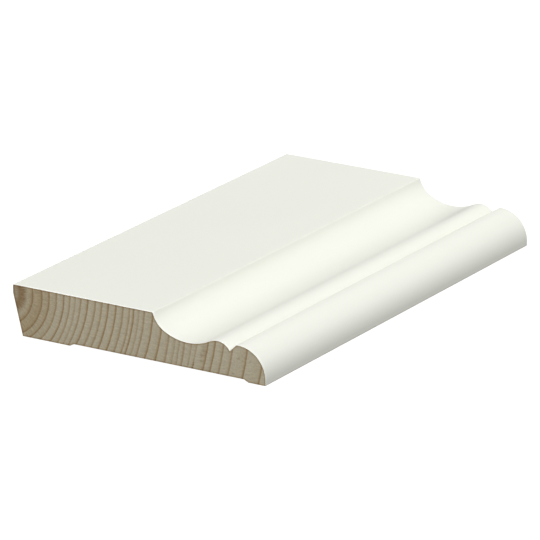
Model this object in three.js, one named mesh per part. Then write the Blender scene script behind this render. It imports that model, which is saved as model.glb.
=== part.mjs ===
// A length of skirting board: solid pine with a painted, moulded face, lying on its back.
// Millimetres, +Z up. X runs across the board, from the edge that stands on the floor to the rounded nose
// at the top of the skirting. Y runs along its length, and Z from the wall side to the face.
// The origin is under the middle of the board, in the plane of the two lands that meet the wall.

import * as THREE from 'three';

// Overall sizes
const LENGTH = 207;
const WIDTH = 118;
const THICKNESS = 21;

// Face, measured across from the floor edge and up from the wall side
const FACE_WIDTH = 66;
const COVE_LOW_X = 82.3;
const COVE_LOW_Z = 11.4;
const COVE_RADIUS = 22.5;
const COVE_MOUTH_RADIUS = 11.3;
const BEAD_TOP_X = 96;
const BEAD_TOP_Z = 14.6;
const BEAD_QUIRK_RADIUS = 6.6;
const QUIRK_SLOPE = THREE.MathUtils.degToRad(45);
const CREST_X = 104.6;
const NOSE_TOP_Z = 14.45;
const NOSE_RADIUS = 12.5;

// Floor edge: square under the face, then undercut down to the wall side
const FLOOR_EDGE_HEIGHT = 3.6;
const UNDERCUT_INSET = 4.4;

// Relief in the back, between the two lands that meet the wall
const RELIEF_DEPTH = 1;
const RELIEF_START_X = 26.8;
const RELIEF_END_X = 110.1;
const RELIEF_SHOULDER = 2;

// How far a round stretch turns from one point of the outline to the next
const ARC_STEP = THREE.MathUtils.degToRad(2.5);

const PAINT = { color: 0xebece4, roughness: 0.42, metalness: 0 };

const point = (x, z) => new THREE.Vector2(x, z);
const onCircle = (centre, radius, angle) =>
  point(centre.x + radius * Math.cos(angle), centre.y + radius * Math.sin(angle));
const fullTurn = 2 * Math.PI;
const angleTo = (centre, target) =>
  (Math.atan2(target.y - centre.y, target.x - centre.x) + fullTurn) % fullTurn;

// Points along a circle from one angle to the other, both ends included.
function arc(centre, radius, from, to) {
  const steps = Math.ceil(Math.abs(to - from) / ARC_STEP);
  const step = (to - from) / steps;
  return Array.from({ length: steps + 1 }, (_, i) => onCircle(centre, radius, from + step * i));
}

// The point at the given distances from two others, on the left of the way from the first to the second.
function reach(first, firstDistance, second, secondDistance) {
  const gap = first.distanceTo(second);
  const along = (firstDistance ** 2 - secondDistance ** 2 + gap ** 2) / (2 * gap);
  const aside = Math.sqrt(firstDistance ** 2 - along ** 2);
  const unit = second.clone().sub(first).divideScalar(gap);
  return point(
    first.x + unit.x * along - unit.y * aside,
    first.y + unit.y * along + unit.x * aside,
  );
}

// Where a straight line from outside a circle first meets it.
function lineMeetsCircle(start, direction, centre, radius) {
  const offset = start.clone().sub(centre);
  const middle = offset.dot(direction);
  const distance = -middle - Math.sqrt(middle ** 2 - offset.lengthSq() + radius ** 2);
  return start.clone().addScaledVector(direction, distance);
}

// The rounded nose, from the plain side of the board up and over to the crest beside the quirk.
function nose() {
  const centre = point(WIDTH - NOSE_RADIUS, NOSE_TOP_Z - NOSE_RADIUS);
  const crestAngle = Math.acos((CREST_X - centre.x) / NOSE_RADIUS);
  return arc(centre, NOSE_RADIUS, 0, crestAngle);
}

// The bead, the cove and the cove's tighter mouth run into each other without a corner. The bead's cove side
// takes the one radius that touches the cove, and the mouth's centre is placed so that it ends at the face's
// arris.
function beadAndCove(crest) {
  const coveCentre = point(COVE_LOW_X, COVE_LOW_Z + COVE_RADIUS);
  const faceArris = point(FACE_WIDTH, THICKNESS);

  const quirkSide = point(BEAD_TOP_X, BEAD_TOP_Z - BEAD_QUIRK_RADIUS);
  const downTheQuirk = point(-Math.cos(QUIRK_SLOPE), -Math.sin(QUIRK_SLOPE));
  const quirkBottom = lineMeetsCircle(crest, downTheQuirk, quirkSide, BEAD_QUIRK_RADIUS);

  const across = BEAD_TOP_X - coveCentre.x;
  const above = coveCentre.y - BEAD_TOP_Z;
  const beadCoveRadius = (across ** 2 + above ** 2 - COVE_RADIUS ** 2) / (2 * (COVE_RADIUS - above));
  const coveSide = point(BEAD_TOP_X, BEAD_TOP_Z - beadCoveRadius);

  const mouthCentre = reach(coveCentre, COVE_RADIUS - COVE_MOUTH_RADIUS, faceArris, COVE_MOUTH_RADIUS);
  const coveEnd = angleTo(coveCentre, mouthCentre);
  return [
    ...arc(quirkSide, BEAD_QUIRK_RADIUS, angleTo(quirkSide, quirkBottom), Math.PI / 2),
    ...arc(coveSide, beadCoveRadius, Math.PI / 2, angleTo(coveSide, coveCentre)).slice(1),
    ...arc(coveCentre, COVE_RADIUS, angleTo(coveCentre, coveSide), coveEnd).slice(1),
    ...arc(mouthCentre, COVE_MOUTH_RADIUS, coveEnd, angleTo(mouthCentre, faceArris)).slice(1),
  ];
}

// The square stretch of the floor edge, the undercut below it, and the back with its shallow relief.
function edgeAndBack() {
  return [
    point(0, THICKNESS),
    point(0, THICKNESS - FLOOR_EDGE_HEIGHT),
    point(UNDERCUT_INSET, 0),
    point(RELIEF_START_X, 0),
    point(RELIEF_START_X + RELIEF_SHOULDER, RELIEF_DEPTH),
    point(RELIEF_END_X - RELIEF_SHOULDER, RELIEF_DEPTH),
    point(RELIEF_END_X, 0),
    point(WIDTH, 0),
  ];
}

// The whole cross-section, once round.
function section() {
  const noseOutline = nose();
  const crest = noseOutline.at(-1);
  return new THREE.Shape([...noseOutline, ...beadAndCove(crest), ...edgeAndBack()]);
}

// The section is drawn flat, pulled out to the board's length and stood up so that the pull runs along Y.
function board() {
  const geometry = new THREE.ExtrudeGeometry(section(), { depth: LENGTH, bevelEnabled: false, steps: 1 });
  geometry.translate(-WIDTH / 2, 0, -LENGTH / 2);
  geometry.rotateX(Math.PI / 2);
  const mesh = new THREE.Mesh(geometry, new THREE.MeshStandardMaterial(PAINT));
  mesh.name = 'skirting_board';
  return mesh;
}

const group = new THREE.Group();
group.add(board());

export default group;
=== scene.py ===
"""A sample length of painted pine skirting board, lying on its back on a pale, softly lit table.

Metres, +Z up. X runs across the board from the floor edge to the rounded nose, Y along it, and Z from the
wall side to the face. In the functions that draw the section, x is measured from the floor edge.
"""

import math

import bpy
import numpy as np
from bpy.props import FloatProperty, FloatVectorProperty, IntProperty, PointerProperty
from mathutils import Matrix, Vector


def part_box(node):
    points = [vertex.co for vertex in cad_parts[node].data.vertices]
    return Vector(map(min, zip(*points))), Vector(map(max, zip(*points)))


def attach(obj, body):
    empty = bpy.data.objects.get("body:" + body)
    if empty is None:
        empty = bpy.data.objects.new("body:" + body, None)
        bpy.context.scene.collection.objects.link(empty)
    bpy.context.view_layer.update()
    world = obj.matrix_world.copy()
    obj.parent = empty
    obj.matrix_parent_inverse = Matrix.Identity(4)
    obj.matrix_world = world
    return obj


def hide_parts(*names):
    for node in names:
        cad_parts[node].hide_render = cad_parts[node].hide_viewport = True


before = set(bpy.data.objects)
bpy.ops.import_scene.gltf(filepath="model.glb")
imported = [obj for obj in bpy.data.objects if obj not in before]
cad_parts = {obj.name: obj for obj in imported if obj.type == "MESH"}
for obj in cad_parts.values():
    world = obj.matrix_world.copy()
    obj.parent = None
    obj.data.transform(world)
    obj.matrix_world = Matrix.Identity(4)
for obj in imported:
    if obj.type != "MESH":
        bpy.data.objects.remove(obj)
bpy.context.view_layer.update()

bl_info = {
    "name": "Painted Skirting Board",
    "version": (1, 0, 0),
    "blender": (4, 5, 0),
    "location": "3D View > Sidebar > Skirting",
    "description": "Makes a length of painted pine skirting board and the stage that it is shown on",
    "category": "Add Mesh",
}

MM = 0.001
BOARD_LOW, BOARD_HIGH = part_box("skirting_board")
BOARD_SIZE = BOARD_HIGH - BOARD_LOW


def setting(kind, **limits):
    """Makes settings of one kind, each from its name, its description and its default."""
    def made(name, description, default):
        return kind(name=name, description=description, default=default, **limits)

    return made


# Kinds of settings. Lengths and places are in metres, and colours are linear red, green and blue.
length_setting = setting(FloatProperty, min=0, subtype="DISTANCE", unit="LENGTH", precision=5)
place_setting = setting(FloatVectorProperty, subtype="TRANSLATION", unit="LENGTH", precision=5)
share_setting = setting(FloatProperty, min=0, max=1, subtype="FACTOR")
colour_setting = setting(FloatVectorProperty, min=0, max=1, subtype="COLOR")
power_setting = setting(FloatProperty, min=0)
count_setting = setting(IntProperty, min=1)


def angle_setting(name, description, degrees):
    """An angle, given here in degrees."""
    return FloatProperty(name=name, description=description, default=math.radians(degrees), subtype="ANGLE")


class SkirtingSizes(bpy.types.PropertyGroup):
    """The section's own sizes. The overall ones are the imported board's."""

    length: length_setting("Length", "From one cut end to the other", BOARD_SIZE.y)
    width: length_setting("Width", "From the floor edge to the side of the nose", BOARD_SIZE.x)
    thickness: length_setting("Thickness", "From the wall side to the flat face", BOARD_SIZE.z)
    face_width: length_setting("Face width", "From the floor edge to the start of the cove", 66 * MM)
    cove_low_x: length_setting("Cove place", "From the floor edge to the cove's lowest line", 82.3 * MM)
    cove_low_z: length_setting("Cove floor", "From the wall side to the cove's lowest line", 11.4 * MM)
    cove_radius: length_setting("Cove radius", "Radius of the cove's floor", 22.5 * MM)
    mouth_radius: length_setting("Cove mouth radius", "Radius of the steep side under the face", 11.3 * MM)
    bead_top_x: length_setting("Bead place", "From the floor edge to the top of the bead", 96 * MM)
    bead_top_z: length_setting("Bead height", "From the wall side to the top of the bead", 14.6 * MM)
    bead_quirk_radius: length_setting("Bead radius", "Radius of the bead's side in the quirk", 6.6 * MM)
    quirk_slope: angle_setting("Quirk slope", "Slope of the straight side of the quirk", 45)
    crest_x: length_setting("Crest place", "From the floor edge to the crest beside the quirk", 104.6 * MM)
    nose_top_z: length_setting("Nose height", "From the wall side to the top of the nose", 14.45 * MM)
    nose_radius: length_setting("Nose radius", "Radius of the rounded top edge", 12.5 * MM)
    floor_edge_height: length_setting("Floor edge", "Height of the square stretch under the face", 3.6 * MM)
    undercut_inset: length_setting("Undercut", "How far the floor edge slopes back", 4.4 * MM)
    relief_depth: length_setting("Relief depth", "Depth of the relief in the back", 1 * MM)
    relief_start_x: length_setting("Relief start", "From the floor edge to the relief", 26.8 * MM)
    relief_end_x: length_setting("Relief end", "From the floor edge to the relief's far side", 110.1 * MM)
    relief_shoulder: length_setting("Relief shoulder", "Width of the relief's sloping side", 2 * MM)
    paint_easing: length_setting("Paint easing", "How far the paint rounds an arris off", 0.35 * MM)
    wood_easing: length_setting("Wood easing", "How far a bare arris is worn off", 0.2 * MM)
    cut_easing: length_setting("Cut easing", "Radius of the arris round a cut end", 0.1 * MM)
    arc_step: angle_setting("Arc step", "How far a round stretch turns between two lines of the mesh", 1.25)
    flat_step: length_setting("Flat step", "Widest strip of a flat stretch of the section", 1.5 * MM)
    lengths: count_setting("Lengths", "Lengths that the mesh is divided into", 24)
    end_rows: count_setting("End rows", "Rows of the mesh across a cut end", 26)


class PaintFinish(bpy.types.PropertyGroup):
    """The factory paint on the face, the mouldings and the floor edge."""

    colour: colour_setting("Colour", "The paint's own colour", (0.785, 0.795, 0.723))
    # The colour at the cut is a painted highlight: lighter paint in a band along the near cut's arris
    cut_highlight_colour: colour_setting("Colour at the cut", "The paint beside the near cut", (0.905, 0.912, 0.855))
    cut_highlight_band: length_setting("Width at the cut", "How far from the near cut the paint is lighter", 1.5 * MM)
    cut_highlight_on_moulding: share_setting("Share on the mouldings", "How far they take the colour at the cut", 0.45)
    roughness: share_setting("Roughness", "Roughness of the satin film", 0.42)
    shine: share_setting("Shine", "How much the film mirrors, where one half is plain lacquer", 0.25)
    spray_height: length_setting("Spray texture", "Height of the sprayed film's fine waves", 0.006 * MM)


class PineFinish(bpy.types.PropertyGroup):
    """The bare pine of the cut ends, the undercut and the back."""

    spring_wood: colour_setting("Spring wood", "Pale wood that starts a ring", (0.572, 0.517, 0.382))
    summer_wood: colour_setting("Summer wood", "Wood further out in a ring", (0.53, 0.468, 0.328))
    heart_wood: colour_setting("Heart wood", "Browner wood near the pith", (0.472, 0.37, 0.217))
    late_wood: colour_setting("Late wood", "Dark line that ends each ring", (0.37, 0.25, 0.13))
    stain: colour_setting("Stain", "Reddish stains", (0.293, 0.193, 0.098))
    edge: colour_setting("Edge", "What the very edge of a cut end keeps of its colour", (0.74, 0.64, 0.52))
    edge_width: length_setting("Edge width", "How far in from the edge a cut end is darker", 0.85 * MM)
    floor_edge_width: length_setting("Floor edge width", "The same beside the floor edge", 1.3 * MM)
    roughness: share_setting("Roughness", "Roughness of the bare wood", 0.8)
    shine: share_setting("Shine", "How much the wood mirrors, where one half is plain lacquer", 0.25)
    grain_depth: length_setting("Grain depth", "Depth of the pores and the rings' relief", 0.03 * MM)


class StageLook(bpy.types.PropertyGroup):
    """The camera, the table and the lights."""

    azimuth: angle_setting("Azimuth", "Turn of the view from straight along the board", 31.783)
    elevation: angle_setting("Elevation", "How far the view looks down", 18.300)
    distance: length_setting("Distance", "From the camera to the point it looks at", 2.2)
    aim: place_setting("Aim", "The point that the camera looks at", (0.02349, -0.04295, 0.02426))
    lens: FloatProperty(
        name="Lens", description="Focal length on a 36 mm wide sensor", default=368.49, unit="CAMERA"
    )
    table_radius: length_setting("Table radius", "Radius of the round table", 12.0)
    table_colour: colour_setting("Table colour", "Colour that the board is lit by", (0.12, 0.12, 0.12))
    air_light: power_setting("Air light", "Soft light from the whole sky", 0.37)
    top_light: power_setting("Top light", "Power of the light overhead", 50)
    front_light: power_setting("Front light", "Power of the low light on the cut end", 93)
    corner_light: power_setting("Corner light", "Power of the light on the nose and the cut end", 24)
    nose_light: power_setting("Nose light", "Power of the main light, behind the nose", 144)
    back_light: power_setting("Back light", "Power of the light over the far end", 31)
    floor_light: power_setting("Floor side light", "Power of the light behind the floor edge", 11)
    side_light: power_setting("Side light", "Power of the low light on the floor edge", 70)


# The side of each soft light, and the lights' places on a dome round the board, in metres
LIGHT_SIZE = 2.0
LIGHTS = {
    "top_light": (0.0, 0.0, 5.2),
    "front_light": (0.0, -5.0, 1.35),
    "corner_light": (3.2, -3.7, 1.85),
    "nose_light": (3.2, 2.6, 3.2),
    "back_light": (0.0, 3.3, 4.0),
    "floor_light": (-1.85, 3.7, 3.2),
    "side_light": (-4.8, 1.5, 0.3),
}
# Low lights that nothing mirrors, so that the face has no glare when it is seen from behind
WITHOUT_GLARE = ("front_light", "corner_light", "side_light")

# The table's rings of points, as shares of its radius, and the points on each
TABLE_RINGS = (0.02, 0.15, 1.0)
TABLE_SIDES = 96

# The growth rings, from the floor edge outwards. The widths are in millimetres, and each ring ends in a line
# that is faint, middling or strong.
FIRST_RING = 9.85
RING_WIDTHS = (
    4.4, 3.5, 3.5, 3.6, 2.9, 2.5, 2.7, 3.3, 3.6, 3.0, 3.0, 3.6, 3.3, 3.1, 1.9, 2.4,
    2.5, 4.0, 4.4, 3.7, 2.9, 2.0, 2.3, 3.3, 2.7, 5.0, 3.1, 3.9, 4.1, 6.6, 7.4, 6.5,
)
FAINT, MIDDLING, STRONG = 0.4, 0.72, 1.0
RING_LINES = (
    STRONG, STRONG, STRONG, MIDDLING, STRONG, MIDDLING, FAINT, MIDDLING, STRONG, MIDDLING, MIDDLING,
    STRONG, STRONG, MIDDLING, MIDDLING, STRONG, FAINT, MIDDLING, STRONG, STRONG, MIDDLING, FAINT,
    FAINT, MIDDLING, FAINT, FAINT, STRONG, STRONG, MIDDLING, MIDDLING, STRONG, STRONG, MIDDLING,
)
# The pith lies outside the floor edge. The rings near it are circles, and further out they bend as parabolas
# about a level line. The rough radius of these is given at the floor edge, with its growth outwards.
PITH_X, PITH_Z = -5.2, 18.1
CIRCLES_TO_PARABOLAS = (13.5, 38.6)
RING_LEVEL = 24.1
ROUGH_RADIUS, ROUGH_GROWTH = 23.8, 0.56
# The distance of a ring from the floor edge and its radius there, in millimetres
RING_RADII = (
    (18, 15), (24, 32), (30, 41), (38, 43), (50, 54), (64, 62),
    (70, 67), (76, 90), (84, 108), (88, 72), (100, 80), (120, 99),
)
# Wider than any of them. The curve through them is drawn in shares of it.
WIDEST_RADIUS = 110

# Along the board the rings drift to either side, by millimetres, as a sine of radians to a millimetre. They
# waver too, more and more, in waves to a millimetre and a share of that number along the board.
DRIFT, DRIFT_TURN = 1.6, 0.021
WAVER, WAVER_GROWTH = 0.35, 0.008
WAVER_SCALE, WAVER_STRETCH = 0.3, 0.15

# Where an effect starts and where it is full, in millimetres: a ring's line back from the ring's end, the
# stain's rise up from the wall side, and the others out from the floor edge
LINE_RISE = (1.35, 0.25)
LINE_FALL = (0.0, 0.2)
HEART_OUTSIDE = (25, 10)
HEART_INSIDE = (6.5, 9.8)
STAIN_OUTSIDE = (7.9, 4.6)
STAIN_INSIDE = (1.7, 3.6)
STAIN_RISE = (7.0, 13.2)
LEVEL_RAYS = (22, 34)

# Rays to a radian about the pith, and to a millimetre upwards further out, and their changes to a millimetre
# of their own length and of the board's
RAYS_ABOUT, RAYS_UPWARD, RAY_CHANGES = 64, 1.3, 0.3

# What is left of the stain at the pith, how far its rim wanders, a dark and a light ray's values, and the
# stain's strength on them
STAIN_AT_PITH = 0.56
STAIN_WANDER = 2.5
STREAK_RANGE, STAIN_STREAKS = (0.36, 0.64), (1.18, 0.78)

# Small soft stains on the near end: place across and up, half width and half height, all in millimetres, and
# strength. They lean with the rings and fade out at a depth along the board.
SMALL_STAINS = (
    (84.7, 2.6, 0.5, 3.0, 0.85),
    (89.2, 7.4, 1.9, 5.8, 0.3),
    (88.8, 1.8, 1.6, 1.5, 0.25),
    (105.6, 9.2, 1.0, 0.9, 0.3),
    (107.4, 7.8, 0.8, 1.2, 0.22),
    (103.2, 2.4, 1.2, 0.5, 0.22),
    (110.8, 8.4, 0.8, 0.7, 0.25),
)
SMALL_STAIN_DEPTH = 12
SMALL_STAIN_LEAN = 0.22
SMALL_STAIN_RIM = (1.0, 0.2)
SMALL_STREAK_RANGE, SMALL_STAIN_STREAKS = (0.38, 0.62), (1.5, 0.5)

# Waves or grains in a metre, and the share of that number along each axis
SPRAY_SCALE = 900
CLOUD_SCALE, CLOUD_STRETCH = 25, (1, 0.3, 1)
PORE_SCALE, SAWN_STRETCH, PLANED_STRETCH = 1800, (1, 1, 1), (1, 0.02, 1)

# Shades of a finish at low and at high soft random values, and how the paint's roughness changes with them
SOFT_LOW, SOFT_HIGH = 0.3, 0.7
CLOUD_SHADES, CLOUD_ROUGHNESS = (0.994, 1.002), 0.03
PORE_RANGE, PORE_SHADES = (0.25, 0.75), (0.91, 1.08)
# A light ray, a dark one, and what is added to a dark one in the heart wood
LIGHT_RAY, DARK_RAY, DARK_RAY_IN_HEART = 1.06, 0.93, -0.14

# How far through a ring the summer wood is full, the heart wood's share where a ring starts, how much
# smoother and prouder than the rest a ring's line is, and how strong the fine relief is
SUMMER_FULL = 0.9
HEART_IN_SPRING = 0.6
LINE_SMOOTHNESS, LINE_RELIEF = 0.12, 0.6
RELIEF_STRENGTH = 0.5

# The share of the painted highlight beside the near cut in which its colour is full, and the depths below the
# face between which the mouldings' share of that highlight becomes the face's
FULL_HIGHLIGHT_BAND = 0.5
FACE_DEPTHS = (2 * MM, 0.5 * MM)
# Distances across from the floor edge between which a cut end's dark edge widens, and its darkest stretch
WIDE_EDGE = (6 * MM, 3 * MM)
DARKEST_EDGE = 0.1 * MM

# Rows of faces round the board that make up the arrises of its two cuts
CUT_ARRIS_ROWS = (0, 1, 2, -3, -2, -1)
# Turns of a cut's arris at which the mesh has a ring, and how far from the cut its even lengths start
CUT_ARRIS_TURNS = np.radians((30, 60, 90))
FIRST_LENGTH = 2 * MM

# Distances from the edge of a cut end at which its mesh has a line, the most of a low column's height that
# they take up at each of its ends, and the least width of a column
NEAR_EDGE = np.array((0, 0.12, 0.3, 0.5, 0.8, 1.2)) * MM
NEAR_EDGE_SHARE = 0.3
NARROWEST_COLUMN = 0.03 * MM

# Points of a line that lie closer than this are one point.
SAME_PLACE = 1e-7


# Outline of the section

def arc(centre, radius, start, end, step):
    """Points on a circle: the centre plus the radius times the cosine and sine of evenly spaced angles."""
    count = max(2, math.ceil(abs(end - start) / step))
    angle = np.linspace(start, end, count + 1)
    return np.asarray(centre) + radius * np.column_stack((np.cos(angle), np.sin(angle)))


def angle_to(centre, target):
    """The direction from one point to another, from nought to a full turn."""
    return math.atan2(target[1] - centre[1], target[0] - centre[0]) % (2 * math.pi)


def reach(first, first_distance, second, second_distance):
    """The point at given distances from two others, on the left of the way from the first to the second."""
    way = np.subtract(second, first)
    gap = np.hypot(*way)
    along = (first_distance**2 - second_distance**2 + gap**2) / (2 * gap)
    aside = math.sqrt(first_distance**2 - along**2)
    unit = way / gap
    return first + unit * along + np.array((-unit[1], unit[0])) * aside


def line_meets_circle(start, direction, centre, radius):
    """Where a straight line from outside a circle first meets it."""
    offset = np.subtract(start, centre)
    middle = offset @ direction
    distance = -middle - math.sqrt(middle**2 - offset @ offset + radius**2)
    return start + distance * np.asarray(direction)


def moulding(s):
    """The round stretches from the face to the side of the nose: cove and bead in one run, and the nose.

    The bead's cove side has the one radius that touches the cove, and the cove's mouth ends on the face's
    arris.
    """
    nose_centre = np.array((s.width - s.nose_radius, s.nose_top_z - s.nose_radius))
    crest_angle = math.acos((s.crest_x - nose_centre[0]) / s.nose_radius)
    nose = arc(nose_centre, s.nose_radius, crest_angle, 0, s.arc_step)
    cove_centre = np.array((s.cove_low_x, s.cove_low_z + s.cove_radius))
    face_arris = np.array((s.face_width, s.thickness))

    quirk_side = np.array((s.bead_top_x, s.bead_top_z - s.bead_quirk_radius))
    down_the_quirk = np.array((-math.cos(s.quirk_slope), -math.sin(s.quirk_slope)))
    quirk_bottom = line_meets_circle(nose[0], down_the_quirk, quirk_side, s.bead_quirk_radius)

    across = s.bead_top_x - cove_centre[0]
    above = cove_centre[1] - s.bead_top_z
    bead_cove_radius = (across**2 + above**2 - s.cove_radius**2) / (2 * (s.cove_radius - above))
    cove_side = np.array((s.bead_top_x, s.bead_top_z - bead_cove_radius))

    mouth_centre = reach(cove_centre, s.cove_radius - s.mouth_radius, face_arris, s.mouth_radius)
    cove_end = angle_to(cove_centre, mouth_centre)
    cove_and_bead = np.vstack((
        arc(mouth_centre, s.mouth_radius, angle_to(mouth_centre, face_arris), cove_end, s.arc_step),
        arc(cove_centre, s.cove_radius, cove_end, angle_to(cove_centre, cove_side), s.arc_step)[1:],
        arc(cove_side, bead_cove_radius, angle_to(cove_side, cove_centre), math.pi / 2, s.arc_step)[1:],
        arc(quirk_side, s.bead_quirk_radius, math.pi / 2, angle_to(quirk_side, quirk_bottom), s.arc_step)[1:],
    ))
    return cove_and_bead, nose


def straight(start, end, step):
    """A straight stretch, with even steps no wider than the given one."""
    count = max(1, math.ceil(np.hypot(*np.subtract(end, start)) / step))
    return np.linspace(start, end, count + 1)


def between(places, known, points):
    """Points read off at some places, from points at known places."""
    return np.stack([np.interp(places, known, points[:, axis]) for axis in (0, 1)], -1)


def trimmed(run, from_start, from_end):
    """A run of points cut back by a distance at each end, measured along it."""
    along = np.concatenate(((0,), np.cumsum(np.hypot(*np.diff(run, axis=0).T))))
    low, high = from_start, along[-1] - from_end
    kept = along[(along > low) & (along < high)]
    places = np.concatenate(((low,), kept, (high,)))
    return between(places, along, run)


def eased(runs, easings, steps=6):
    """Pieces of a loop: each run cut back for its two corners, and the easing of the corner at its end.

    An easing is a parabola that leaves one run and meets the next at the given distance from the corner: its
    three control points are those two places and the corner itself.
    """
    t = np.linspace(0, 1, steps + 1)[:, None]
    pieces = []
    for i, run in enumerate(runs):
        kept = trimmed(run, easings[i - 1], easings[i])
        landing = trimmed(runs[(i + 1) % len(runs)], easings[i], 0)[0]
        corner = (1 - t) ** 2 * kept[-1] + 2 * t * (1 - t) * run[-1] + t**2 * landing
        pieces.append((kept, corner if easings[i] else kept[-1:]))
    return pieces


def chained(*pieces):
    """Pieces joined into one line, without the points that they share."""
    line = np.vstack(pieces)
    apart = np.concatenate(((True,), np.hypot(*np.diff(line, axis=0).T) > SAME_PLACE))
    return line[apart]


def section_sides(s):
    """The section as four sides, all drawn from left to right or upwards: left, top, right and bottom.

    The left side is the undercut and the square floor edge, the top is the face and its mouldings, the right
    side is the plain foot of the nose, and the bottom is the back with its relief. The bend between the
    undercut and the floor edge comes last, on its own.
    """
    cove_and_bead, nose = moulding(s)
    floor_corner = (0, s.thickness)
    undercut_top = (0, s.thickness - s.floor_edge_height)
    undercut_foot = (s.undercut_inset, 0)
    shoulder = s.relief_shoulder
    back = (
        (s.width, 0),
        (s.relief_end_x, 0),
        (s.relief_end_x - shoulder, s.relief_depth),
        (s.relief_start_x + shoulder, s.relief_depth),
        (s.relief_start_x, 0),
        undercut_foot,
    )
    paint, wood, smooth = s.paint_easing, s.wood_easing, 0
    runs = [
        (straight(undercut_foot, undercut_top, s.flat_step), wood),
        (straight(undercut_top, floor_corner, s.flat_step), paint),
        (straight(floor_corner, cove_and_bead[0], s.flat_step), paint),
        (cove_and_bead, paint),
        (straight(cove_and_bead[-1], nose[0], s.flat_step), paint),
        (nose, smooth),
        (straight(nose[-1], back[0], s.flat_step), paint),
    ]
    runs += [(straight(a, b, s.flat_step), wood) for a, b in zip(back, back[1:])]
    pieces = eased([run for run, _ in runs], [easing for _, easing in runs])
    (undercut, bend), (edge, edge_corner), *mouldings = pieces[:6]
    (foot, foot_corner), *backs = pieces[6:]
    left = chained(undercut, bend, edge)
    top = chained(edge_corner, *(part for piece in mouldings for part in piece))
    bottom = chained(foot_corner, *(part for piece in backs for part in piece))[::-1]
    return left, top, foot[::-1], bottom, bend


def travel(line):
    """How far each point lies along a line, as a share. A step counts as the larger of its two parts."""
    along = np.concatenate(((0,), np.cumsum(np.abs(np.diff(line, axis=0)).max(1))))
    return along / along[-1]


def read_off(line, share):
    """Points of a line at the given shares of its travel."""
    return between(share, travel(line), line)


def across_shares(top, bottom, width):
    """Shares across the section, for every point of its top and bottom and for a few close to both ends."""
    near = NEAR_EDGE / width
    shares = np.unique(np.concatenate((travel(top), travel(bottom), near, 1 - near)))
    apart = np.concatenate((np.diff(shares) > NARROWEST_COLUMN / width, (True,)))
    shares = shares[apart]
    shares[0] = 0
    return shares


def upward_shares(height, count):
    """Shares up each column, from 0 at the bottom to 1 at the top, as an array of rows by columns.

    The first and last rows lie at set distances from the surface, which shrink on a low column, and the rest
    are spread evenly between them.
    """
    scale = np.minimum(1, NEAR_EDGE_SHARE * height / NEAR_EDGE[-1])
    close = NEAR_EDGE[:, None] * scale / height
    t = np.linspace(0, 1, count + 1)[1:-1, None]
    return np.vstack((close, close[-1] + t * (1 - 2 * close[-1]), 1 - close[::-1]))


def outward(loop):
    """The outward direction at each point of a clockwise loop: square to the way past its neighbours."""
    way = np.roll(loop, -1, axis=0) - np.roll(loop, 1, axis=0)
    way /= np.hypot(*way.T)[:, None]
    return np.column_stack((-way[:, 1], way[:, 0]))


def edge_distance(points, loop, blocks=64):
    """How far each point lies from a loop: the shortest of its distances to all the loop's sides.

    The points are taken in blocks, so that the distances of each block fit in memory.
    """
    start, side = loop, np.roll(loop, -1, axis=0) - loop
    shortest = []
    for block in np.array_split(points, blocks):
        offset = block[:, None] - start
        t = np.clip((offset * side).sum(2) / (side**2).sum(1), 0, 1)
        shortest.append(np.sqrt(((offset - t[..., None] * side) ** 2).sum(2).min(1)))
    return np.concatenate(shortest)


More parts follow.
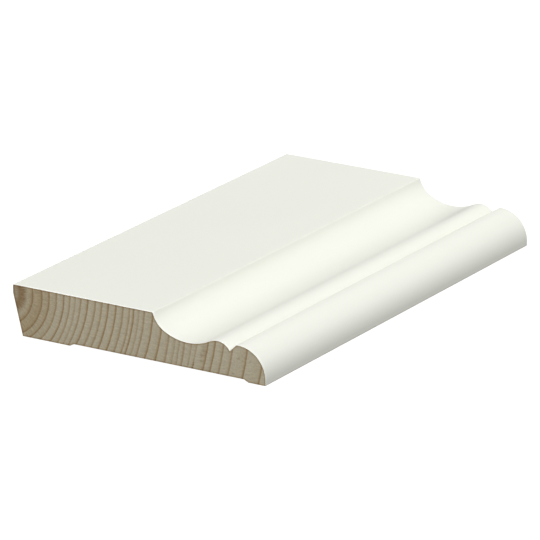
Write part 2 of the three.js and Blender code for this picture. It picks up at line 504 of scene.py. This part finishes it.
class BoardMesh:
    """The board's closed mesh: two cut ends, each a grid of rows and columns, and the walls between them."""

    def __init__(self, s):
        left, top, right, bottom, bend = section_sides(s)
        u = across_shares(top, bottom, s.width)
        top, bottom = read_off(top, u), read_off(bottom, u)
        v = upward_shares(np.hypot(*(top - bottom).T), s.end_rows)
        bend_share = np.interp(bend[len(bend) // 2, 1], left[:, 1], travel(left))
        bend_row = np.abs(v[:, 0] - bend_share).argmin()
        v[bend_row, 0] = bend_share
        left, right = read_off(left, v[:, 0]), read_off(right, v[:, -1])

        height, width = v.shape
        self.s = s
        self.grid = g = np.arange(height * width).reshape(height, width)
        self.around = np.concatenate((g[:-1, 0], g[-1, :-1], g[:0:-1, -1], g[0, :0:-1]))
        self.outline = np.vstack((left[:-1], top[:-1], right[:0:-1], bottom[:0:-1]))
        segment = np.arange(len(self.around))
        self.painted = (segment >= bend_row) & (segment < 2 * (height - 1) + width - 1)

        drawn_in = self.outline - s.cut_easing * outward(self.outline)
        end = np.zeros((height * width, 2))
        end[self.around] = drawn_in
        self.end = self.filled(end.reshape(height, width, 2), u, v).reshape(-1, 2)
        self.edge_distance = edge_distance(self.end, drawn_in)

    @staticmethod
    def filled(patch, u, v):
        """A patch filled in from its four sides.

        A point is the top and bottom mixed by its share v upwards, plus the left and right mixed by its share
        u across, less the four corners mixed by both.
        """
        bottom, top = patch[0], patch[-1]
        left, right = (between(v, v[:, side], patch[:, side]) for side in (0, -1))
        u, v = u[None, :, None], v[..., None]
        corners = (1 - v) * ((1 - u) * bottom[0] + u * bottom[-1]) + v * ((1 - u) * top[0] + u * top[-1])
        inside = (1 - v) * bottom + v * top + (1 - u) * left + u * right - corners
        patch[1:-1, 1:-1] = inside[1:-1, 1:-1]
        return patch

    def walls(self):
        """Rings of the outline along the board, and their places along it.

        Each cut arris is a quarter circle: at an angle a from the cut, a ring is drawn in by the radius times
        1 - sin a, and lies short of the cut by the radius times 1 - cos a.
        """
        s = self.s
        turn = CUT_ARRIS_TURNS
        near = np.concatenate((s.cut_easing * (1 - np.cos(turn)), (2 * s.cut_easing, FIRST_LENGTH)))
        inset = np.concatenate((s.cut_easing * (1 - np.sin(turn)), (0, 0)))
        middle = np.linspace(near[-1], s.length - near[-1], s.lengths + 1)[1:-1]
        place = np.concatenate((near, middle, s.length - near[::-1]))
        inset = np.concatenate((inset, np.zeros(len(middle)), inset[::-1]))
        return self.outline - inset[:, None, None] * outward(self.outline), place

    def build(self, name, materials):
        """The mesh object, with its paint, end grain and back grain on their own faces."""
        rings, place = self.walls()
        count, around, ends = len(place), len(self.around), len(self.end)
        side = np.column_stack((rings[..., 0].ravel(), np.repeat(place, around), rings[..., 1].ravel()))
        near = np.column_stack((self.end[:, 0], np.zeros(ends), self.end[:, 1]))
        far = near + (0, self.s.length, 0)
        points = np.vstack((near, side, far)) + tuple(BOARD_LOW)

        g = self.grid
        near_faces = np.stack((g[:-1, :-1], g[:-1, 1:], g[1:, 1:], g[1:, :-1]), -1).reshape(-1, 4)
        far_first = ends + len(side)
        far_faces = near_faces[:, ::-1] + far_first
        side_index = ends + np.arange(len(side)).reshape(count, around)
        index = np.vstack((self.around, side_index, self.around + far_first))
        ahead = np.roll(index, -1, axis=1)
        side_faces = np.stack((index[:-1], ahead[:-1], ahead[1:], index[1:]), -1).reshape(-1, 4)
        faces = np.vstack((near_faces, side_faces, far_faces))

        paint, end_grain, back_grain = range(3)
        side_material = np.where(np.tile(self.painted, (count + 1, 1)), paint, back_grain)
        floor_side = np.arange(len(g) - 1)
        side_material[np.ix_(CUT_ARRIS_ROWS, floor_side)] = end_grain
        end_material = np.full(len(near_faces), end_grain)
        material = np.concatenate((end_material, side_material.ravel(), end_material))
        distance = np.concatenate((self.edge_distance, np.zeros(len(side)), self.edge_distance))
        return mesh_object(name, points, faces, material, materials, {"edge_distance": distance})


def new_object(name, data):
    """An object in the scene."""
    piece = bpy.data.objects.new(name, data)
    bpy.context.scene.collection.objects.link(piece)
    return piece


def mesh_object(name, points, faces, material, materials, attributes):
    """A smooth mesh object of four-sided faces, each with its material, and values kept on its points."""
    mesh = bpy.data.meshes.new(name)
    mesh.vertices.add(len(points))
    mesh.vertices.foreach_set("co", points.astype(np.float32).ravel())
    mesh.loops.add(faces.size)
    mesh.loops.foreach_set("vertex_index", faces.astype(np.int32).ravel())
    mesh.polygons.add(len(faces))
    mesh.polygons.foreach_set("loop_start", np.arange(0, faces.size, 4, dtype=np.int32))
    for item in materials:
        mesh.materials.append(item)
    mesh.polygons.foreach_set("material_index", material.astype(np.int32))
    for key, values in attributes.items():
        mesh.attributes.new(key, "FLOAT", "POINT").data.foreach_set("value", values.astype(np.float32))
    mesh.update(calc_edges=True)
    mesh.validate()
    mesh.shade_smooth()
    return new_object(name, mesh)


# Shader nodes

class Value:
    """A node's output that can stand in a sum. Each step of the sum adds a node."""

    def __init__(self, wiring, socket):
        self.wiring = wiring
        self.socket = socket

    def __add__(self, other):
        return self.wiring.math("ADD", self, other)

    def __sub__(self, other):
        return self.wiring.math("SUBTRACT", self, other)

    def __rsub__(self, other):
        return self.wiring.math("SUBTRACT", other, self)

    def __mul__(self, other):
        return self.wiring.math("MULTIPLY", self, other)

    def __truediv__(self, other):
        return self.wiring.math("DIVIDE", self, other)


class Wiring:
    """Adds nodes to a tree and joins them. An input takes a number, a tuple or another node's output."""

    def __init__(self, tree):
        self.tree = tree
        tree.nodes.clear()

    def node(self, kind, inputs=(), **settings):
        """A node with its settings, and with what it takes in at the inputs that are named or numbered."""
        made = self.tree.nodes.new(kind)
        for key, value in settings.items():
            setattr(made, key, value)
        for key, value in dict(inputs).items():
            self.feed(made.inputs[key], value)
        return made

    def value(self, kind, output, inputs=(), **settings):
        """What a new node puts out at one of its outputs."""
        return Value(self, self.node(kind, inputs, **settings).outputs[output])

    def feed(self, socket, value):
        """Sets an input, or joins it to another node's output."""
        if isinstance(value, Value):
            value = value.socket
        if isinstance(value, bpy.types.NodeSocket):
            self.tree.links.new(value, socket)
        else:
            socket.default_value = value

    def math(self, operation, *values, clamp=False):
        """The result of one step of a sum."""
        return self.value("ShaderNodeMath", 0, enumerate(values), operation=operation, use_clamp=clamp)

    def length(self, first, second):
        """The root of the sum of two values' squares."""
        return self.math("SQRT", first * first + second * second)

    def ramp(self, value, low, high, start=0.0, end=1.0):
        """A smooth step of a value, from one figure to another as it goes from low to high."""
        inputs = {"Value": value, "From Min": low, "From Max": high, "To Min": start, "To Max": end}
        return self.value("ShaderNodeMapRange", "Result", inputs, interpolation_type="SMOOTHSTEP")

    def mix(self, share, first, second, blend="MIX"):
        """Two colours mixed."""
        inputs = {0: share, 6: first, 7: second}
        return self.value("ShaderNodeMix", 2, inputs, data_type="RGBA", blend_type=blend)

    def noise(self, place, scale, detail):
        """Soft random values about one half."""
        inputs = {"Vector": place, "Scale": scale, "Detail": detail}
        return self.value("ShaderNodeTexNoise", "Fac", inputs)

    def shaded(self, colour, shade):
        """A colour made darker or lighter by a value."""
        return self.mix(1.0, colour, self.joined(shade, shade, shade), "MULTIPLY")

    def stretched(self, place, scale):
        """A place scaled along each axis."""
        return self.value("ShaderNodeVectorMath", 0, {0: place, 1: scale}, operation="MULTIPLY")

    def joined(self, x, y, z):
        """A place from its three parts."""
        return self.value("ShaderNodeCombineXYZ", 0, {0: x, 1: y, 2: z})

    def parts(self, place):
        """A place's three parts."""
        made = self.node("ShaderNodeSeparateXYZ", {0: place})
        return [Value(self, socket) for socket in made.outputs]

    def curve(self, value, points):
        """A value read off a line through points."""
        made = self.node("ShaderNodeFloatCurve", {"Value": value})
        line = made.mapping.curves[0]
        first, *middle, last = points
        for handle, place in zip(line.points, (first, last)):
            handle.location = place
        for place in middle:
            line.points.new(*place)
        for handle in line.points:
            handle.handle_type = "VECTOR"
        made.mapping.update()
        return Value(self, made.outputs[0])


def node_group(name, inputs, outputs):
    """A new shader node group with named sockets, its wiring, and its input and output nodes."""
    group = bpy.data.node_groups.new(name, "ShaderNodeTree")
    wiring = Wiring(group)
    for label, kind, default in inputs:
        socket = group.interface.new_socket(label, in_out="INPUT", socket_type=kind)
        socket.default_value = default
    for label in outputs:
        group.interface.new_socket(label, in_out="OUTPUT", socket_type="NodeSocketFloat")
    return wiring, wiring.node("NodeGroupInput"), wiring.node("NodeGroupOutput")


def soft_grain_group():
    """Fine random grain, used by the paint and by the bare wood."""
    wiring, given, result = node_group(
        "soft_grain",
        [
            ("Place", "NodeSocketVector", (0, 0, 0)),
            ("Stretch", "NodeSocketVector", (1, 1, 1)),
            ("Scale", "NodeSocketFloat", 100.0),
            ("Detail", "NodeSocketFloat", 2.0),
        ],
        ["Value"],
    )
    place = wiring.stretched(given.outputs["Place"], given.outputs["Stretch"])
    value = wiring.noise(place, given.outputs["Scale"], given.outputs["Detail"])
    wiring.feed(result.inputs["Value"], value)
    return wiring.tree


def board_place(wiring, place):
    """A place in millimetres: across from the floor edge, along from the near cut, up from the wall side."""
    return [(part - low) / MM for part, low in zip(wiring.parts(place), BOARD_LOW)]


def trunk_place(wiring, x, y, z):
    """How far across a place would lie if the trunk were straight.

    The drift is a sine of the place along the board. The waver is a soft random value about nought, and its
    size grows evenly along the board.
    """
    drift = wiring.math("SINE", y * DRIFT_TURN) * DRIFT
    waver = wiring.noise(wiring.joined(x, y * WAVER_STRETCH, z), WAVER_SCALE, detail=2.0) - 0.5
    return x + drift + waver * (y * WAVER_GROWTH + WAVER)


def ring_distance(wiring, x, z):
    """How far from the floor edge the ring through a place x, z is where it lies furthest, in millimetres.

    Near the pith at px, pz the rings are circles: the distance is sqrt((x - px)^2 + (z - pz)^2) + px. Further
    out a ring bends as a parabola with a radius R of its own: the distance is x + (z - level)^2 / (2 R). R is
    read off at a first guess, (k x - R0 + sqrt((k x + R0)^2 + 2 k (z - level)^2)) / (2 k), where R0 + k s is
    the rough radius at a distance s. A smooth step joins the two.
    """
    circle = wiring.length(x - PITH_X, z - PITH_Z) + PITH_X

    level = z - RING_LEVEL
    squared = level * level
    grown = x * ROUGH_GROWTH
    outer = grown + ROUGH_RADIUS
    root = wiring.math("SQRT", outer * outer + squared * (2 * ROUGH_GROWTH))
    guess = (grown - ROUGH_RADIUS + root) / (2 * ROUGH_GROWTH)

    span = RING_RADII[-1][0]
    points = [(distance / span, radius / WIDEST_RADIUS) for distance, radius in RING_RADII]
    share = wiring.curve(wiring.math("DIVIDE", guess, span, clamp=True), [(0, points[0][1]), *points])
    parabola = x + squared / (share * (2 * WIDEST_RADIUS))
    return circle + (parabola - circle) * wiring.ramp(circle, *CIRCLES_TO_PARABOLAS)


def ring_at(wiring, distance):
    """How far through its ring a place lies, the ring's width in millimetres, and its line's strength."""
    widths = np.array((FIRST_RING, *RING_WIDTHS))
    ends = np.cumsum(widths)
    count, span = len(ends), ends[-1]
    age = wiring.curve(distance / span, [(0, 0), *zip(ends / span, np.arange(1, count + 1) / count)]) * count
    middle = (wiring.math("FLOOR", age) + 0.5) / count
    middles = (np.arange(count) + 0.5) / count
    width = wiring.curve(middle, list(zip(middles, widths / widths.max()))) * widths.max()
    strength = wiring.curve(middle, list(zip(middles, RING_LINES)))
    return wiring.math("FRACT", age), width, strength


def ring_line(wiring, season, width, strength):
    """The dark line of a ring: it rises over the ring's last stretch and ends where the next ring begins."""
    before_end = (1 - season) * width
    return wiring.ramp(before_end, *LINE_RISE) * wiring.ramp(before_end, *LINE_FALL) * strength


def wood_rays(wiring, x, y, z, distance):
    """Soft random streaks across the rings: those that spread from the pith, those that run level, and both
    joined by a smooth step further out.
    """
    angle = wiring.math("ARCTAN2", z - PITH_Z, x - PITH_X)
    out, along = distance * RAY_CHANGES, y * RAY_CHANGES
    spread = wiring.noise(wiring.joined(out, along, angle * RAYS_ABOUT), scale=1.0, detail=1.0)
    level = wiring.noise(wiring.joined(out, along, z * RAYS_UPWARD), scale=1.0, detail=2.0)
    return spread, level, spread + (level - spread) * wiring.ramp(distance, *LEVEL_RAYS)


def pith_stain(wiring, z, distance, spread):
    """The stain inside the first ring, streaked by the rays, weaker towards the pith and the wall side."""
    ragged = distance + (spread - 0.5) * STAIN_WANDER
    ring = wiring.ramp(ragged, *STAIN_OUTSIDE) * wiring.ramp(ragged, *STAIN_INSIDE, STAIN_AT_PITH, 1.0)
    return ring * wiring.ramp(spread, *STREAK_RANGE, *STAIN_STREAKS) * wiring.ramp(z, *STAIN_RISE)


def small_stains(wiring, x, y, z, level):
    """The small stains of the near end, streaked by the level rays.

    Each is a leaning oval. Its strength falls towards its rim, where the root of the sum of the squares of
    the two distances from its middle, each as a share of its half size, is 1.
    """
    streaks = wiring.ramp(level, *SMALL_STREAK_RANGE, *SMALL_STAIN_STREAKS)
    depth = wiring.ramp(y, SMALL_STAIN_DEPTH, 0) * streaks
    stain = 0.0
    for stain_x, stain_z, half_width, half_height, strength in SMALL_STAINS:
        above = z - stain_z
        across = x - above * SMALL_STAIN_LEAN - stain_x
        off = wiring.length(across / half_width, above / half_height)
        small = wiring.ramp(off, *SMALL_STAIN_RIM, 0.0, strength) * depth
        stain = wiring.math("MAXIMUM", stain, small)
    return stain


def growth_rings_group():
    """The solid growth rings with their rays and stains, from the place in the wood."""
    labels = ("Line", "Season", "Heart", "Stain", "Ray")
    wiring, given, result = node_group("growth_rings", [("Place", "NodeSocketVector", (0, 0, 0))], labels)
    x, y, z = board_place(wiring, given.outputs["Place"])
    trunk_x = trunk_place(wiring, x, y, z)
    distance = ring_distance(wiring, trunk_x, z)
    season, width, strength = ring_at(wiring, distance)
    line = ring_line(wiring, season, width, strength)
    heart = wiring.ramp(distance, *HEART_OUTSIDE) * wiring.ramp(distance, *HEART_INSIDE)
    spread, level, ray = wood_rays(wiring, trunk_x, y, z, distance)
    near_pith = pith_stain(wiring, z, distance, spread)
    stain = wiring.math("MAXIMUM", near_pith, small_stains(wiring, x, y, z, level))
    for label, value in zip(labels, (line, season, heart, stain, ray)):
        wiring.feed(result.inputs[label], value)
    return wiring.tree


def new_material(name):
    """A material with its wiring and its shader."""
    material = bpy.data.materials.new(name)
    material.use_nodes = True
    wiring = Wiring(material.node_tree)
    shader = wiring.node("ShaderNodeBsdfPrincipled")
    output = wiring.node("ShaderNodeOutputMaterial")
    wiring.feed(output.inputs["Surface"], shader.outputs["BSDF"])
    return material, wiring, shader


def placed_group(wiring, group, inputs):
    """A node group placed in a material, with its own values: what it puts out, by name."""
    made = wiring.node("ShaderNodeGroup", inputs, node_tree=group)
    return {socket.name: Value(wiring, socket) for socket in made.outputs}


def bumped(wiring, shader, height, distance, strength=1.0):
    """Fine relief on a shader, its height a value and its full depth a distance."""
    inputs = {"Height": height, "Distance": distance, "Strength": strength}
    wiring.feed(shader.inputs["Normal"], wiring.value("ShaderNodeBump", "Normal", inputs))


def painted_material(paint, soft_grain):
    """Satin paint, sprayed in the factory: faint clouds, fine waves, and a painted highlight by the near cut.
    """
    material, wiring, shader = new_material("satin_paint")
    place = wiring.value("ShaderNodeTexCoord", "Object")
    spray = placed_group(wiring, soft_grain, {"Place": place, "Scale": SPRAY_SCALE})["Value"]
    cloud_inputs = {"Place": place, "Stretch": CLOUD_STRETCH, "Scale": CLOUD_SCALE}
    cloud = placed_group(wiring, soft_grain, cloud_inputs)["Value"]

    _, along, height = wiring.parts(place)
    # Painted highlight: the paint lightens in a band along the near cut's arris, fullest on the flat face
    band = paint.cut_highlight_band
    painted_highlight = wiring.ramp(along, BOARD_LOW.y + band, BOARD_LOW.y + FULL_HIGHLIGHT_BAND * band)
    face_low, face_high = (BOARD_HIGH.z - depth for depth in FACE_DEPTHS)
    on_face = wiring.ramp(height, face_low, face_high, paint.cut_highlight_on_moulding, 1.0)
    colour = wiring.mix(painted_highlight * on_face, (*paint.colour, 1), (*paint.cut_highlight_colour, 1))
    shade = wiring.ramp(cloud, SOFT_LOW, SOFT_HIGH, *CLOUD_SHADES)
    wiring.feed(shader.inputs["Base Color"], wiring.shaded(colour, shade))

    smooth, rough = paint.roughness - CLOUD_ROUGHNESS, paint.roughness + CLOUD_ROUGHNESS
    wiring.feed(shader.inputs["Roughness"], wiring.ramp(cloud, SOFT_LOW, SOFT_HIGH, smooth, rough))
    shader.inputs["Specular IOR Level"].default_value = paint.shine
    bumped(wiring, shader, spray, paint.spray_height)
    return material


def pine_colour(wiring, pine, ring):
    """The wood's colour: paler early in a ring, browner near the pith, with its stains and dark lines."""
    season = wiring.ramp(ring["Season"], 0.0, SUMMER_FULL)
    colour = wiring.mix(season, (*pine.spring_wood, 1), (*pine.summer_wood, 1))
    heart = ring["Heart"] * (season * (1 - HEART_IN_SPRING) + HEART_IN_SPRING)
    colour = wiring.mix(heart, colour, (*pine.heart_wood, 1))
    colour = wiring.mix(ring["Stain"], colour, (*pine.stain, 1))
    return wiring.mix(ring["Line"], colour, (*pine.late_wood, 1))


def edged(wiring, pine, place, colour):
    """A cut end's colour, darker beside its edges and in a wider band beside the floor edge."""
    distance = wiring.value("ShaderNodeAttribute", "Fac", attribute_name="edge_distance")
    across, _, _ = wiring.parts(place)
    narrow_from, wide_to = (BOARD_LOW.x + inset for inset in WIDE_EDGE)
    width = wiring.ramp(across, narrow_from, wide_to, pine.edge_width, pine.floor_edge_width)
    colour_at_edge = wiring.mix(1.0, colour, (*pine.edge, 1), "MULTIPLY")
    return wiring.mix(wiring.ramp(distance, width, DARKEST_EDGE), colour, colour_at_edge)


def pine_material(name, pine, rings, soft_grain, sawn):
    """Bare pine. A sawn end has a darker edge; a planed back has pores drawn out along the board."""
    material, wiring, shader = new_material(name)
    place = wiring.value("ShaderNodeTexCoord", "Object")
    ring = placed_group(wiring, rings, {"Place": place})
    stretch = SAWN_STRETCH if sawn else PLANED_STRETCH
    pore_inputs = {"Place": place, "Stretch": stretch, "Scale": PORE_SCALE, "Detail": 3.0}
    pores = placed_group(wiring, soft_grain, pore_inputs)["Value"]

    colour = pine_colour(wiring, pine, ring)
    if sawn:
        colour = edged(wiring, pine, place, colour)
    dark_ray = ring["Heart"] * DARK_RAY_IN_HEART + DARK_RAY
    ray_shade = wiring.ramp(ring["Ray"], SOFT_LOW, SOFT_HIGH, dark_ray, LIGHT_RAY)
    shade = wiring.ramp(pores, *PORE_RANGE, *PORE_SHADES) * ray_shade
    wiring.feed(shader.inputs["Base Color"], wiring.shaded(colour, shade))

    wiring.feed(shader.inputs["Roughness"], ring["Line"] * -LINE_SMOOTHNESS + pine.roughness)
    shader.inputs["Specular IOR Level"].default_value = pine.shine
    bumped(wiring, shader, ring["Line"] * LINE_RELIEF + pores, pine.grain_depth, RELIEF_STRENGTH)
    return material


# Operators

class SKIRTING_OT_board(bpy.types.Operator):
    """Make the board: solid pine, moulded and painted on its face, cut square at both ends"""

    bl_idname = "skirting.board"
    bl_label = "Board"

    def execute(self, context):
        settings = context.scene
        soft_grain = soft_grain_group()
        rings = growth_rings_group()
        materials = (
            painted_material(settings.paint_finish, soft_grain),
            pine_material("sawn_end_grain", settings.pine_finish, rings, soft_grain, sawn=True),
            pine_material("planed_back_grain", settings.pine_finish, rings, soft_grain, sawn=False),
        )
        board = BoardMesh(settings.skirting_sizes).build("painted_pine_board", materials)
        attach(board, "root")
        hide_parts("skirting_board")
        return {"FINISHED"}


def camera(look):
    """A long lens that looks at the board from the near end and over the nose."""
    data = bpy.data.cameras.new("camera")
    data.lens = look.lens
    piece = new_object("camera", data)
    flat = math.cos(look.elevation)
    back = Vector((math.sin(look.azimuth) * flat, -math.cos(look.azimuth) * flat, math.sin(look.elevation)))
    piece.location = look.aim + look.distance * back
    piece.rotation_euler = back.to_track_quat("Z", "Y").to_euler()
    bpy.context.scene.camera = piece


def soft_light(name, place, size, power, glare):
    """A square soft light that points at the board, unseen by the camera, and with or without glare."""
    data = bpy.data.lights.new(name, "AREA")
    data.shape = "SQUARE"
    data.size = size
    data.energy = power
    piece = new_object(name, data)
    piece.location = place
    piece.rotation_euler = Vector(place).to_track_quat("Z", "Y").to_euler()
    piece.visible_camera = False
    piece.visible_glossy = glare


def table(look):
    """A round table that glows white to the camera, so that the board throws no shadow on it.

    Its points are a centre and rings of points at a radius times the cosine and sine of even angles.
    """
    angle = np.linspace(0, 2 * math.pi, TABLE_SIDES, endpoint=False)
    around = np.column_stack((np.cos(angle), np.sin(angle), np.zeros(TABLE_SIDES)))
    points = np.vstack([(0, 0, 0)] + [share * look.table_radius * around for share in TABLE_RINGS])
    first = 1 + np.arange(TABLE_SIDES)
    following = np.roll(first, -1)
    middle = np.column_stack((np.zeros(TABLE_SIDES, int), first, following))
    band = np.column_stack((first, first + TABLE_SIDES, following + TABLE_SIDES, following))
    bands = np.vstack([band + i * TABLE_SIDES for i in range(len(TABLE_RINGS) - 1)])
    mesh = bpy.data.meshes.new("table")
    mesh.from_pydata(points.tolist(), [], middle.tolist() + bands.tolist())
    piece = new_object("table", mesh)

    material, wiring, shader = new_material("glowing_white_table")
    shader.inputs["Base Color"].default_value = (*look.table_colour, 1)
    shader.inputs["Roughness"].default_value = 1.0
    shader.inputs["Specular IOR Level"].default_value = 0.0
    shader.inputs["Emission Color"].default_value = (1, 1, 1, 1)
    seen = wiring.value("ShaderNodeLightPath", "Is Camera Ray")
    wiring.feed(shader.inputs["Emission Strength"], seen)
    mesh.materials.append(material)


def surroundings(look):
    """Soft light from all sides; the camera sees plain white beyond the table."""
    world = bpy.data.worlds.new("surroundings")
    world.use_nodes = True
    wiring = Wiring(world.node_tree)
    light = wiring.node("ShaderNodeBackground", {"Color": (1, 1, 1, 1), "Strength": look.air_light})
    white = wiring.node("ShaderNodeBackground", {"Color": (1, 1, 1, 1), "Strength": 1.0})
    seen = wiring.value("ShaderNodeLightPath", "Is Camera Ray")
    chosen = wiring.node("ShaderNodeMixShader", {0: seen, 1: light.outputs[0], 2: white.outputs[0]})
    output = wiring.node("ShaderNodeOutputWorld")
    wiring.feed(output.inputs["Surface"], chosen.outputs[0])
    bpy.context.scene.world = world


class SKIRTING_OT_stage(bpy.types.Operator):
    """Make the stage: the camera, the pale table and the soft lights"""

    bl_idname = "skirting.stage"
    bl_label = "Stage"

    def execute(self, context):
        look = context.scene.stage_look
        camera(look)
        table(look)
        surroundings(look)
        for name, place in LIGHTS.items():
            soft_light(name, place, LIGHT_SIZE, getattr(look, name), name not in WITHOUT_GLARE)
        context.scene.view_settings.view_transform = "Standard"
        return {"FINISHED"}


class SKIRTING_PT_panel(bpy.types.Panel):
    """The board's operators and settings"""

    bl_idname = "SKIRTING_PT_panel"
    bl_label = "Skirting board"
    bl_space_type = "VIEW_3D"
    bl_region_type = "UI"
    bl_category = "Skirting"

    def draw(self, context):
        for operator in OPERATORS:
            self.layout.operator(operator.bl_idname)
        for key, group in SETTINGS.items():
            box = self.layout.box()
            for name in group.__annotations__:
                box.prop(getattr(context.scene, key), name)


OPERATORS = (SKIRTING_OT_board, SKIRTING_OT_stage)
SETTINGS = {
    "skirting_sizes": SkirtingSizes,
    "paint_finish": PaintFinish,
    "pine_finish": PineFinish,
    "stage_look": StageLook,
}
CLASSES = (*SETTINGS.values(), *OPERATORS, SKIRTING_PT_panel)


def register():
    """Adds the settings, operators and panel."""
    for item in CLASSES:
        bpy.utils.register_class(item)
    for key, group in SETTINGS.items():
        setattr(bpy.types.Scene, key, PointerProperty(type=group))


def unregister():
    """Takes them away again."""
    for key in SETTINGS:
        delattr(bpy.types.Scene, key)
    for item in reversed(CLASSES):
        bpy.utils.unregister_class(item)


def main():
    """Makes the stage and the board."""
    register()
    bpy.ops.skirting.stage()
    bpy.ops.skirting.board()


if __name__ == "__main__":
    main()
